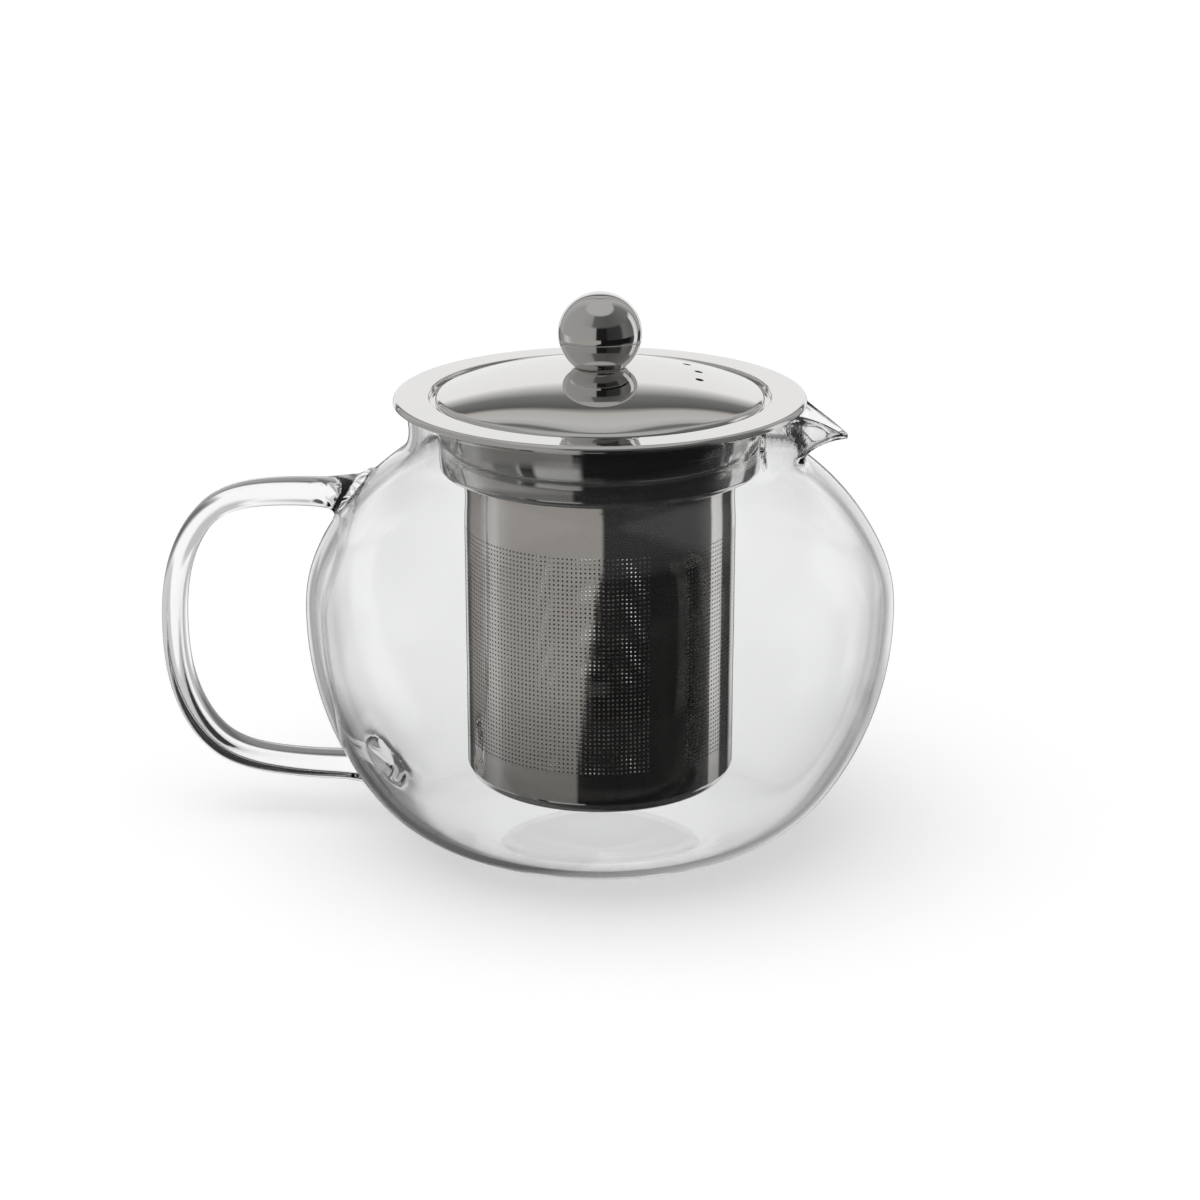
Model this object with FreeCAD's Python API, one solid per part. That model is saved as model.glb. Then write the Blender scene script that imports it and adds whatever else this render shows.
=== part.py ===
import FreeCAD, Part
import math
import os

Vector = FreeCAD.Vector

# Glass teapot with a lift-out steel infuser and lid. Millimetres, +Z up.
# The origin is the centre of the foot, the spout points along +X and the handle along -X.

# Blown glass pot
foot_radius = 33.7
foot_thickness = 3.6
belly_radius = 92.5
belly_height = 78.0
belly_bend = 0.7             # first leg of the belly's double bend over its last
rim_radius = 60.6
rim_height = 142.3
mouth_flare = 1.6            # rim outside the narrowest part of the neck
neck_drop = 13.3             # narrowest part of the neck below the rim
neck_bend = 0.5
shoulder_flare = 3.8         # shoulder's end outside the neck
shoulder_drop = 19.3         # shoulder's end below the rim
shoulder_slope = 33.0        # degrees up from level, where the shoulder meets the neck
shoulder_bend = 0.275
glass_wall = 2.4
foot_height = 30.0           # level seam between the foot's bowl and the belly
neck_seam_drop = 24.3        # level seam between the belly and the neck, below the rim

# Pulled pouring lip
spout_lead = 11.0            # trough starts inside the narrowest part of the neck
spout_overhang = 16.2        # tip outside the rim
spout_root_width = 54.0
spout_tip_width = 5.0
spout_width_curve = 1.49
spout_tip_drop = 9.6         # lip below the rim, at the tip
spout_lip_lead = 1.2         # lip above the rim, at the root, where it is trimmed level
spout_drop_curve = 2.05
spout_tip_depth = 1.4        # glass under the lip, at the tip
spout_belly_drop = 22.9      # underside at the root below the underside at the tip
spout_belly_curve = 1.8
spout_tip_wall = 1.1

# Drawn glass handle
handle_reach = 138.0         # centre line from the pot's axis
handle_bow = 33.0            # from the start of the bend to the furthest point
handle_top_drop = 15.2       # upper run below the shoulder's end
handle_middle = 62.0
handle_bottom = 17.5
handle_squareness = 2.3
handle_width = 13.0
handle_thickness = 7.2       # at the middle of the bow
handle_run_thickness = 9.0   # towards both ends
handle_root_width = 16.5
handle_root_thickness = 11.5
handle_root_flare = 13.0     # length over which an end spreads onto the pot
handle_root_depth = 14.0     # how far the centre line is drawn into the pot before it is trimmed

# Pressed steel infuser
rim_sheet = 0.8
flange_overhang = 3.4        # past the glass rim
flange_lip = 1.0             # turned-down edge
recess_clearance = 4.5       # between the recess and the glass
recess_depth = 2.2
ledge_width = 1.9
collar_taper = 1.5
collar_height = 15.7
collar_turn = 5.6            # height of the rounded lower edge of the collar
collar_step = 8.7            # infuser's wall inside the collar
infuser_sheet = 0.5
infuser_clearance = 16.0     # underside of the infuser above the glass floor
spigot_length = 6.0
base_lip = 6.0
base_corner = 4.0
weld_gap = 0.05

# Lid
lid_sheet = 0.8
lid_gap = 1.9                # between the lid's edge and the recess
lid_rise = 10.9              # from the ledge to the flat top
lid_edge_bend = 2.0
lid_flat_radius = 8.6
vent_radius = 1.3
vent_circle = 31.0
vent_count = 3
vent_step = 19.0
vent_middle = 17.0
knob_radius = 12.9
knob_foot_radius = 7.7
screw_radius = 1.95
screw_clearance = 0.05
screw_grip = 9.0
screw_head_radius = 3.6
screw_head_height = 2.4
screw_socket_width = 2.5
screw_socket_depth = 1.4
washer_radius = 4.8
washer_thickness = 0.8
hole_clearance = 0.3

round_curve = 0.5523         # Bezier handle for a quarter round
overshoot = 6.0              # length by which a cutting tool passes a face


def point(radius, height):
    return Vector(radius, 0, height)


def line(start, end):
    return Part.LineSegment(start, end).toShape()


def bezier(poles):
    curve = Part.BezierCurve()
    curve.setPoles(poles)
    return curve.toShape()


def arc(start, middle, end):
    return Part.Arc(start, middle, end).toShape()


def bend_arc(start, corner, end):
    # the arc that leaves and arrives along two equal legs of a corner
    half = (end - start).Length / 2 / (corner - start).Length
    middle = (start + end) / 2
    return arc(start, middle + (corner - middle) * (half / (1 + half)), end)


def double_bend(start, start_way, end, end_way, bend):
    # two arcs in one smooth run, where bend is the first leg over the last
    across = end - start
    lean = across.dot(start_way * bend + end_way)
    turn = 2 * bend * (start_way.dot(end_way) - 1)
    leg = (lean - math.sqrt(lean ** 2 - turn * across.dot(across))) / turn
    first_corner = start + start_way * (bend * leg)
    last_corner = end - end_way * leg
    join = (first_corner + last_corner * bend) / (1 + bend)
    return [bend_arc(start, first_corner, join), bend_arc(join, last_corner, end)]


def quarter_turn(upright, level):
    # a rounded corner from an upright wall down and inwards to a level one
    half = math.radians(45)
    reach = upright - level
    middle = point(level.x + reach.x * math.sin(half), upright.z - reach.z * math.cos(half))
    return arc(upright, middle, level)


def turned(edges):
    face = Part.Face(Part.Wire(edges))
    return face.revolve(Vector(0, 0, 0), Vector(0, 0, 1), 360)


def pressed(path, sheet):
    # a sheet of even thickness on the right-hand side of its path, turned about the axis
    face = Part.Wire(path).makeOffset2D(-sheet, 0, True, True, False)
    return face.revolve(Vector(0, 0, 0), Vector(0, 0, 1), 360)


def cylinder(radius, low, high):
    return Part.makeCylinder(radius, high - low, Vector(0, 0, low))


# Outline of the pot

neck_radius = rim_radius - mouth_flare
neck_height = rim_height - neck_drop
shoulder_radius = neck_radius + shoulder_flare
shoulder_height = rim_height - shoulder_drop


def pot_outline(inset, floor):
    slope = math.radians(shoulder_slope)
    upward = Vector(0, 0, 1)
    inward = Vector(-math.cos(slope), 0, math.sin(slope))
    foot = point(foot_radius, floor)
    belly = point(belly_radius - inset, belly_height)
    shoulder = point(shoulder_radius, shoulder_height) - Vector(math.sin(slope), 0, math.cos(slope)) * inset
    neck = point(neck_radius - inset, neck_height)
    rim = point(rim_radius - inset, rim_height)
    mouth = rim - neck
    edges = double_bend(foot, Vector(1, 0, 0), belly, upward, belly_bend)
    edges += double_bend(belly, upward, shoulder, inward, shoulder_bend)
    edges += double_bend(shoulder, inward, neck, upward, neck_bend)
    edges.append(bend_arc(neck, neck + upward * (mouth.dot(mouth) / (2 * mouth.z)), rim))
    return edges


def pot_solid(inset, floor, top):
    edges = [line(point(0, floor), point(foot_radius, floor))] + pot_outline(inset, floor)
    last = point(rim_radius - inset, rim_height)
    if top > rim_height:
        edges.append(line(last, point(last.x, top)))
        last = point(last.x, top)
    edges.append(line(last, point(0, top)))
    edges.append(line(point(0, top), point(0, floor)))
    return turned(edges)


def pot_contact(height):
    # the pot's outside at this height, on the handle's side
    level = line(point(0, height), point(belly_radius * 2, height))
    touch = Part.Wire(pot_outline(0, 0)).distToShape(level)[1][0][0]
    return point(-touch.x, touch.z)


# Pouring lip, as troughs across the spout's line

spout_root = neck_radius - spout_lead
spout_reach = rim_radius + spout_overhang


def spout_station(share):
    rest = 1 - share
    along = spout_root + share * (spout_reach - spout_root)
    spread = (spout_root_width - spout_tip_width) / 2
    half_width = spout_tip_width / 2 + spread * rest ** spout_width_curve
    lip_fall = spout_lip_lead + spout_tip_drop
    lip = rim_height + spout_lip_lead - lip_fall * share ** spout_drop_curve
    tip_bottom = rim_height - spout_tip_drop - spout_tip_depth
    bottom = tip_bottom - spout_belly_drop * rest ** spout_belly_curve
    wall = glass_wall + (spout_tip_wall - glass_wall) * share
    return along, half_width, lip, bottom, wall


def trough(along, half_width, top, bottom):
    # a half oval with a level top, across the spout's line
    wide = half_width * round_curve
    deep = (top - bottom) * round_curve
    right = Vector(along, -half_width, top)
    middle = Vector(along, 0, bottom)
    left = Vector(along, half_width, top)
    return Part.Wire([bezier([right, right - Vector(0, 0, deep), middle - Vector(0, wide, 0), middle]),
                      bezier([middle, middle + Vector(0, wide, 0), left - Vector(0, 0, deep), left]),
                      line(left, right)])


def spout_outside(share):
    along, half_width, lip, bottom, wall = spout_station(share)
    return trough(along, half_width, lip, bottom)


def spout_inside(share, ahead):
    # drawn past the lip, and wide enough up there to leave the wall at the lip itself
    along, half_width, lip, bottom, wall = spout_station(share)
    top = lip + overshoot
    above = overshoot / (top - bottom - wall)
    return trough(along + ahead, (half_width - wall) / math.sqrt(1 - above ** 2), top, bottom + wall)


spout_shares = [0.0, 0.2, 0.4, 0.6, 0.75, 0.88, 1.0]


def glass_band(low, high):
    # the blown pot between two levels
    outside = pot_solid(0, 0, rim_height)
    outside = outside.fuse(Part.makeLoft([spout_outside(share) for share in spout_shares], True, False))
    outside = outside.cut(cylinder(belly_radius, rim_height, rim_height + overshoot))
    channel = [spout_inside(share, 0) for share in spout_shares]
    channel.append(spout_inside(1.0, glass_wall))
    inside = pot_solid(glass_wall, foot_thickness, rim_height + overshoot)
    inside = inside.fuse(Part.makeLoft(channel, True, False))
    return outside.cut(inside).common(cylinder(belly_radius + overshoot, low, high))


def make_glass_foot():
    return glass_band(0, foot_height)


def make_glass_body():
    return glass_band(foot_height, rim_height - neck_seam_drop)


def make_glass_neck():
    return glass_band(rim_height - neck_seam_drop, rim_height)


# Handle

handle_top = shoulder_height - handle_top_drop


def bow_point(angle, rise):
    power = 2 / handle_squareness
    across = handle_bow * math.sin(angle) ** power
    return point(-(handle_reach - handle_bow + across), handle_middle + rise * max(math.cos(angle), 0) ** power)


def handle_line():
    # level out of the pot, round the bow and level back into the pot
    bend_steps = 3
    top_rise = handle_top - handle_middle
    bottom_rise = handle_bottom - handle_middle
    inward = Vector(handle_root_depth, 0, 0)
    points = [pot_contact(handle_top) + inward]
    for step in range(bend_steps + 1):
        points.append(bow_point(math.pi / 2 * step / bend_steps, top_rise))
    for step in range(bend_steps - 1, -1, -1):
        points.append(bow_point(math.pi / 2 * step / bend_steps, bottom_rise))
    points.append(pot_contact(handle_bottom) + inward)
    curve = Part.BSplineCurve()
    curve.interpolate(points, InitialTangent=Vector(-1, 0, 0), FinalTangent=Vector(1, 0, 0))
    return curve


def oval(centre, along, width, thickness):
    across = Vector(0, 1, 0)
    upward = along.cross(across)
    upward.normalize()
    curve = Part.Ellipse(centre + across * (width / 2), centre + upward * (thickness / 2), centre)
    return Part.Wire([curve.toShape()])


def make_glass_handle():
    # each end spreads where it is welded on and runs into the pot, whose outside trims it
    curve = handle_line()
    length = curve.length()
    stations = 48
    sections = []
    for index in range(stations + 1):
        travelled = length * index / stations
        parameter = curve.parameterAtDistance(travelled, curve.FirstParameter)
        from_end = min(travelled, length - travelled)
        from_pot = max(from_end - handle_root_depth, 0)
        spread = max(1 - from_pot / handle_root_flare, 0) ** 2
        run = (1 - 2 * from_end / length) ** 2
        thickness = handle_thickness + (handle_run_thickness - handle_thickness) * run
        thickness += (handle_root_thickness - handle_run_thickness) * spread
        width = handle_width + (handle_root_width - handle_width) * spread
        sections.append(oval(curve.value(parameter), curve.tangent(parameter)[0], width, thickness))
    strap = Part.makeLoft(sections, True, False)
    return strap.cut(pot_solid(0, 0, rim_height))


# Infuser

recess_radius = rim_radius - glass_wall - recess_clearance - rim_sheet
ledge_height = rim_height + rim_sheet - recess_depth
collar_radius = recess_radius - ledge_width
collar_bottom = ledge_height - rim_sheet - collar_height
infuser_radius = collar_radius - collar_step
wall_top = collar_bottom - collar_turn
infuser_bottom = foot_thickness + infuser_clearance
spigot_radius = infuser_radius - infuser_sheet - weld_gap
wall_bottom = infuser_bottom + base_corner + weld_gap


def make_infuser_rim():
    edge = rim_radius + flange_overhang - rim_sheet
    step = recess_radius + rim_sheet
    under = ledge_height - rim_sheet
    low = point(collar_radius - collar_taper, collar_bottom)
    turn_end = low - Vector(collar_turn, 0, collar_turn)
    neck = point(spigot_radius, wall_top)
    corners = [point(edge, rim_height - flange_lip), point(edge, rim_height), point(step, rim_height),
               point(step, under), point(collar_radius, under), low]
    path = [line(start, end) for start, end in zip(corners, corners[1:])]
    path.append(quarter_turn(low, turn_end))
    path.append(line(turn_end, neck))
    path.append(line(neck, neck - Vector(0, 0, spigot_length)))
    return pressed(path, rim_sheet)


def make_infuser_wall():
    tube = cylinder(infuser_radius, wall_bottom, wall_top)
    return tube.cut(cylinder(infuser_radius - infuser_sheet, wall_bottom - overshoot, wall_top + overshoot))


def make_infuser_base():
    corner = point(spigot_radius, infuser_bottom + base_corner)
    flat = corner - Vector(base_corner, 0, base_corner)
    path = [line(corner + Vector(0, 0, base_lip), corner), quarter_turn(corner, flat), line(flat, point(0, flat.z))]
    return pressed(path, infuser_sheet)


# Lid

lid_radius = recess_radius - lid_gap
lid_top = ledge_height + lid_rise


def make_lid_dome():
    bend = lid_edge_bend
    rise = lid_rise - bend
    dome_radius = (lid_radius ** 2 - lid_flat_radius ** 2 + rise ** 2) / (2 * rise)
    centre_height = lid_top - math.sqrt(dome_radius ** 2 - lid_flat_radius ** 2)
    bend_height = centre_height + math.sqrt((dome_radius - bend) ** 2 - (lid_radius - bend) ** 2)
    tangent = math.atan2(lid_radius - bend, bend_height - centre_height)
    leave = point(dome_radius * math.sin(tangent), centre_height + dome_radius * math.cos(tangent))
    half = (math.pi / 2 + tangent) / 2
    turn = point(lid_radius - bend + bend * math.sin(half), bend_height + bend * math.cos(half))
    flat = point(lid_flat_radius, lid_top)
    crown = (tangent + math.asin(lid_flat_radius / dome_radius)) / 2
    top = point(dome_radius * math.sin(crown), centre_height + dome_radius * math.cos(crown))
    edge = point(lid_radius, bend_height)
    hole = screw_radius + hole_clearance
    path = [line(point(hole, lid_top), flat), arc(flat, top, leave), arc(leave, turn, edge),
            line(edge, point(lid_radius, ledge_height))]
    dome = pressed(path, lid_sheet)
    for index in range(vent_count):
        angle = math.radians(vent_middle + vent_step * (index - (vent_count - 1) / 2))
        foot = Vector(vent_circle * math.cos(angle), vent_circle * math.sin(angle), ledge_height)
        dome = dome.cut(Part.makeCylinder(vent_radius, lid_rise + overshoot, foot))
    return dome


knob_centre = lid_top + math.sqrt(knob_radius ** 2 - knob_foot_radius ** 2)
washer_top = lid_top - lid_sheet
screw_seat = washer_top - washer_thickness
screw_tip = lid_top + screw_grip


def make_lid_knob():
    ball = Part.makeSphere(knob_radius, Vector(0, 0, knob_centre))
    ball = ball.cut(cylinder(knob_radius + overshoot, lid_top - overshoot - knob_radius, lid_top))
    return ball.cut(cylinder(screw_radius + screw_clearance, lid_top - overshoot, screw_tip + screw_radius))


def make_knob_screw():
    screw = cylinder(screw_radius, screw_seat, screw_tip)
    screw = screw.fuse(cylinder(screw_head_radius, screw_seat - screw_head_height, screw_seat)).removeSplitter()
    corner = screw_socket_width / 2 / math.cos(math.radians(30))
    turns = [math.radians(60 * index) for index in range(7)]
    low = screw_seat - screw_head_height
    socket = Part.makePolygon([Vector(corner * math.cos(turn), corner * math.sin(turn), low) for turn in turns])
    return screw.cut(Part.Face(socket).extrude(Vector(0, 0, screw_socket_depth)))


def make_knob_washer():
    return cylinder(washer_radius, screw_seat, washer_top).cut(
        cylinder(screw_radius + hole_clearance, screw_seat - overshoot, washer_top + overshoot))


pieces = {
    "glass_foot": make_glass_foot,
    "glass_body": make_glass_body,
    "glass_neck": make_glass_neck,
    "glass_handle": make_glass_handle,
    "infuser_rim": make_infuser_rim,
    "infuser_wall": make_infuser_wall,
    "infuser_base": make_infuser_base,
    "lid_dome": make_lid_dome,
    "lid_knob": make_lid_knob,
    "knob_screw": make_knob_screw,
    "knob_washer": make_knob_washer,
}

os.makedirs("parts", exist_ok=True)
for name, make in pieces.items():
    shape = make()
    shape.exportStep("parts/" + name + ".step")
    box = shape.optimalBoundingBox()
    print(name, len(shape.Solids), shape.isValid(), round(shape.Volume, 1),
          [round(value, 2) for value in (box.XMin, box.XMax, box.YMin, box.YMax, box.ZMin, box.ZMax)])
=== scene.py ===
import bpy
import bmesh
import math
import numpy as np
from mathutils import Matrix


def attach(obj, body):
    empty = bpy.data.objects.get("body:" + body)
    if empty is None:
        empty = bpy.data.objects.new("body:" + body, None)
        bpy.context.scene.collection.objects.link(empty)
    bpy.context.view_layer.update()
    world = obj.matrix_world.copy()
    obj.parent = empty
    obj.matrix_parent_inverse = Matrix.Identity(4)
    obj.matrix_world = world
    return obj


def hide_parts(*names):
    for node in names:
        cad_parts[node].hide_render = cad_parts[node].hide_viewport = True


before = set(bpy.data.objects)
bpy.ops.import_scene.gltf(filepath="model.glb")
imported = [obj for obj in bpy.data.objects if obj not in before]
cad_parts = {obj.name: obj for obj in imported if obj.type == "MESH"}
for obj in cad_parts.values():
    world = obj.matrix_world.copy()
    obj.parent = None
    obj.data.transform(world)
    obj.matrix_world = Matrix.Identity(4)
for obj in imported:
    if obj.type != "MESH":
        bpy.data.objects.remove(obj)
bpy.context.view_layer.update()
mm = 0.001  # every size below is in millimetres
mergeGap = 0.002  # points closer than this become one
scene = bpy.context.scene
scene.view_settings.view_transform = "Standard"
print("frame loaded:", len(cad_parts), "nodes")


# small helpers

def deselectAll():
    if bpy.context.mode != "OBJECT":
        bpy.ops.object.mode_set(mode="OBJECT")
    bpy.ops.object.select_all(action="DESELECT")


def namePiece(name):
    piece = bpy.context.object
    piece.name = name
    piece.data.name = name
    return piece


def makeActive(piece):
    deselectAll()
    piece.select_set(True)
    bpy.context.view_layer.objects.active = piece


def applyModifiers(piece):
    makeActive(piece)
    for modifier in list(piece.modifiers):
        bpy.ops.object.modifier_apply(modifier=modifier.name)


def combinePieces(piece, other, operation):
    # cut with another piece or join it on, which uses it up
    change = piece.modifiers.new(operation.lower(), "BOOLEAN")
    change.operation = operation
    change.solver = "EXACT"
    change.object = other
    applyModifiers(piece)
    bpy.data.objects.remove(other, do_unlink=True)


def smoothShade(piece, degrees):
    makeActive(piece)
    bpy.ops.object.shade_smooth_by_angle(angle=math.radians(degrees))


def readPoints(piece):
    points = np.empty(len(piece.data.vertices) * 3)
    piece.data.vertices.foreach_get("co", points)
    return points.reshape(-1, 3) / mm


def writePoints(piece, points):
    piece.data.vertices.foreach_set("co", (np.asarray(points) * mm).ravel())
    piece.data.update()


def arcPoints(centre, radius, fromDegrees, toDegrees, count):
    angles = np.radians(np.linspace(fromDegrees, toDegrees, count))
    return [(centre[0] + radius * math.cos(a), centre[1] + radius * math.sin(a)) for a in angles]


def fillRuns(outline, gap):
    # extra points along the long straight runs of an outline
    filled = [outline[0]]
    for start, end in zip(outline, outline[1:]):
        count = max(1, round(math.dist(start, end) / gap))
        for step in range(1, count + 1):
            share = step / count
            filled.append((start[0] + (end[0] - start[0]) * share, start[1] + (end[1] - start[1]) * share))
    return filled


def spinOutline(name, outline, steps, closed):
    # draw the outline point by point, then spin it about the pot's axis
    deselectAll()
    bpy.ops.mesh.primitive_plane_add(size=mm)
    piece = namePiece(name)
    bpy.ops.object.mode_set(mode="EDIT")
    bpy.ops.mesh.select_all(action="SELECT")
    bpy.ops.mesh.merge(type="CENTER")
    bpy.ops.transform.translate(value=(outline[0][0] * mm, 0, outline[0][1] * mm))
    for start, end in zip(outline, outline[1:]):
        step = ((end[0] - start[0]) * mm, 0, (end[1] - start[1]) * mm)
        bpy.ops.mesh.extrude_region_move(TRANSFORM_OT_translate={"value": step})
    if closed:
        drawn = bmesh.from_edit_mesh(piece.data)
        bpy.ops.mesh.select_all(action="DESELECT")
        ends = [vert for vert in drawn.verts if len(vert.link_edges) == 1]
        for vert in ends:
            vert.select = True
        bpy.ops.mesh.edge_face_add()
    bpy.ops.mesh.select_all(action="SELECT")
    bpy.ops.mesh.spin(steps=steps, angle=2 * math.pi, center=(0, 0, 0), axis=(0, 0, 1))
    bpy.ops.mesh.select_all(action="SELECT")
    bpy.ops.mesh.remove_doubles(threshold=mergeGap * mm)
    bpy.ops.mesh.normals_make_consistent(inside=False)
    bpy.ops.object.mode_set(mode="OBJECT")
    return piece


# glass pot with its pulled lip

potGlass = {
    "footRadius": 33.7, "floor": 3.6, "bellyRadius": 92.5, "bellyHeight": 78.0, "bellyBend": 0.7,
    "heelFullness": 3.4, "heelStart": 5.0, "heelFade": 1.2,
    "rimRadius": 60.6, "rimHeight": 142.3, "neckRadius": 59.0, "neckHeight": 129.0, "neckBend": 0.5,
    "shoulderRadius": 62.8, "shoulderHeight": 123.0, "shoulderSlope": 33.0, "shoulderBend": 0.275,
    "wall": 2.4, "heelRadius": 62.0, "punt": 1.6, "steps": 300, "crowding": 0.72, "gap": 1.8, "easing": 8,
    "bendSteps": 120, "mouthSteps": 60, "rimSteps": 11, "footSteps": 26, "puntSpread": 1.12,
}

spoutLip = {
    "root": 48.0, "reach": 76.8, "rootWidth": 54.0, "tipWidth": 5.0, "widthCurve": 1.49,
    "rootLip": 143.5, "lipFall": 10.8, "fallCurve": 2.05, "tipBottom": 131.3, "bellyDrop": 22.9,
    "bellyCurve": 1.8, "tipWall": 1.1, "pullFrom": 117.0, "weld": 8.0,
    "pullTurn": 0.85, "pullCurve": 1.3, "overrun": 1.5, "lipStep": 0.05, "skinStep": 0.08, "leastDepth": 0.2,
}


def bendPoints(start, corner, end, count):
    # the round that leaves and arrives along two equal legs of a corner
    start, corner, end = np.array(start), np.array(corner), np.array(end)
    middle = (start + end) / 2
    toCorner = corner - middle
    half = np.linalg.norm(end - start) / 2
    if np.linalg.norm(toCorner) < 1e-6:
        return [start + (end - start) * share for share in np.linspace(0, 1, count)]
    centre = middle - toCorner * (half ** 2 / np.dot(toCorner, toCorner))
    fromAngle = math.atan2(*(start - centre)[::-1])
    turn = math.atan2(*(end - centre)[::-1]) - fromAngle
    turn = (turn + math.pi) % (2 * math.pi) - math.pi
    radius = np.linalg.norm(start - centre)
    return [centre + radius * np.array([math.cos(fromAngle + turn * s), math.sin(fromAngle + turn * s)])
            for s in np.linspace(0, 1, count)]


def doubleBend(start, startWay, end, endWay, bend):
    # two rounds that run into each other, with the first leg bend times the last
    steps = potGlass["bendSteps"]
    start, startWay, end, endWay = (np.array(v, dtype=float) for v in (start, startWay, end, endWay))
    across = end - start
    lean = np.dot(across, startWay * bend + endWay)
    turn = 2 * bend * (np.dot(startWay, endWay) - 1)
    leg = (lean - math.sqrt(lean ** 2 - turn * np.dot(across, across))) / turn
    firstCorner = start + startWay * bend * leg
    lastCorner = end - endWay * leg
    join = (firstCorner + lastCorner * bend) / (1 + bend)
    return bendPoints(start, firstCorner, join, steps) + bendPoints(join, lastCorner, end, steps)


def potOutline():
    s = potGlass
    slope = math.radians(s["shoulderSlope"])
    inward = (-math.cos(slope), math.sin(slope))
    shoulder = (s["shoulderRadius"], s["shoulderHeight"])
    neck = (s["neckRadius"], s["neckHeight"])
    rim = (s["rimRadius"], s["rimHeight"])
    belly = (s["bellyRadius"], s["bellyHeight"])
    lower = np.array(doubleBend((s["footRadius"], 0), (1, 0), belly, (0, 1), s["bellyBend"]))
    start = np.clip(lower[:, 1] / s["heelStart"], 0, 1)
    fade = np.clip(1 - lower[:, 1] / s["bellyHeight"], 0, 1) ** s["heelFade"]
    lower[:, 0] += s["heelFullness"] * start * start * (3 - 2 * start) * fade
    points = list(lower)
    points += doubleBend(belly, (0, 1), shoulder, inward, s["shoulderBend"])
    points += doubleBend(shoulder, inward, neck, (0, 1), s["neckBend"])
    mouth = np.array(rim) - np.array(neck)
    mouthCorner = (neck[0], neck[1] + np.dot(mouth, mouth) / (2 * mouth[1]))
    points += bendPoints(neck, mouthCorner, rim, s["mouthSteps"])
    return np.array(points)


def evenPoints(points, gap):
    lengths = np.concatenate([[0], np.cumsum(np.linalg.norm(np.diff(points, axis=0), axis=1))])
    count = max(2, round(lengths[-1] / gap) + 1)
    along = np.linspace(0, lengths[-1], count)
    return np.column_stack([np.interp(along, lengths, points[:, axis]) for axis in (0, 1)])


def easePoints(points, repeats):
    # blend the joins between rounds, as blown glass flows
    eased = points.copy()
    for _ in range(repeats):
        eased[1:-1] = 0.25 * eased[:-2] + 0.5 * eased[1:-1] + 0.25 * eased[2:]
    return eased


def spoutStation(along):
    s = spoutLip
    share = np.clip((along - s["root"]) / (s["reach"] - s["root"]), 0, 1)
    rest = 1 - share
    halfWidth = s["tipWidth"] / 2 + (s["rootWidth"] - s["tipWidth"]) / 2 * rest ** s["widthCurve"]
    lip = s["rootLip"] - s["lipFall"] * share ** s["fallCurve"]
    bottom = s["tipBottom"] - s["bellyDrop"] * rest ** s["bellyCurve"]
    wall = potGlass["wall"] + (s["tipWall"] - potGlass["wall"]) * share
    return halfWidth, lip, bottom, wall


def lipHeight(turn):
    # height of the pulled edge at each turn round the pot
    best = np.zeros_like(turn)
    top = np.full_like(turn, potGlass["rimHeight"])
    for radius in np.arange(spoutLip["root"], spoutLip["reach"] + spoutLip["overrun"], spoutLip["lipStep"]):
        along, across = radius * np.cos(turn), np.abs(radius * np.sin(turn))
        halfWidth, lip, _, _ = spoutStation(along)
        inside = (across <= halfWidth) & (along <= spoutLip["reach"]) & (along >= spoutLip["root"])
        best = np.where(inside, radius, best)
        top = np.where(inside, np.minimum(lip, potGlass["rimHeight"]), top)
    return np.where(best > potGlass["neckRadius"], top, potGlass["rimHeight"])


def spoutRadius(turn, height, inner):
    # how far out the spout's skin lies, for its outside (0) or its inside (1)
    best = np.zeros_like(turn)
    for radius in np.arange(spoutLip["root"], spoutLip["reach"] + spoutLip["overrun"], spoutLip["skinStep"]):
        along, across = radius * np.cos(turn), np.abs(radius * np.sin(turn))
        halfWidth, lip, bottom, wall = spoutStation(along)
        wall = wall * inner
        depth = np.clip((lip - height) / np.maximum(lip - bottom - wall, spoutLip["leastDepth"]), 0, 1)
        inside = across <= (halfWidth - wall) * np.sqrt(1 - depth ** 2)
        inside &= (along <= spoutLip["reach"] - wall) & (along >= spoutLip["root"])
        inside &= height >= bottom + wall
        best = np.where(inside, radius, best)
    return best


def weldRadius(first, second, soft):
    # the larger of two radii, with a soft change from one to the other
    blend = np.clip(0.5 + 0.5 * (second - first) / soft, 0, 1)
    return first + (second - first) * blend + soft * blend * (1 - blend)


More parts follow.
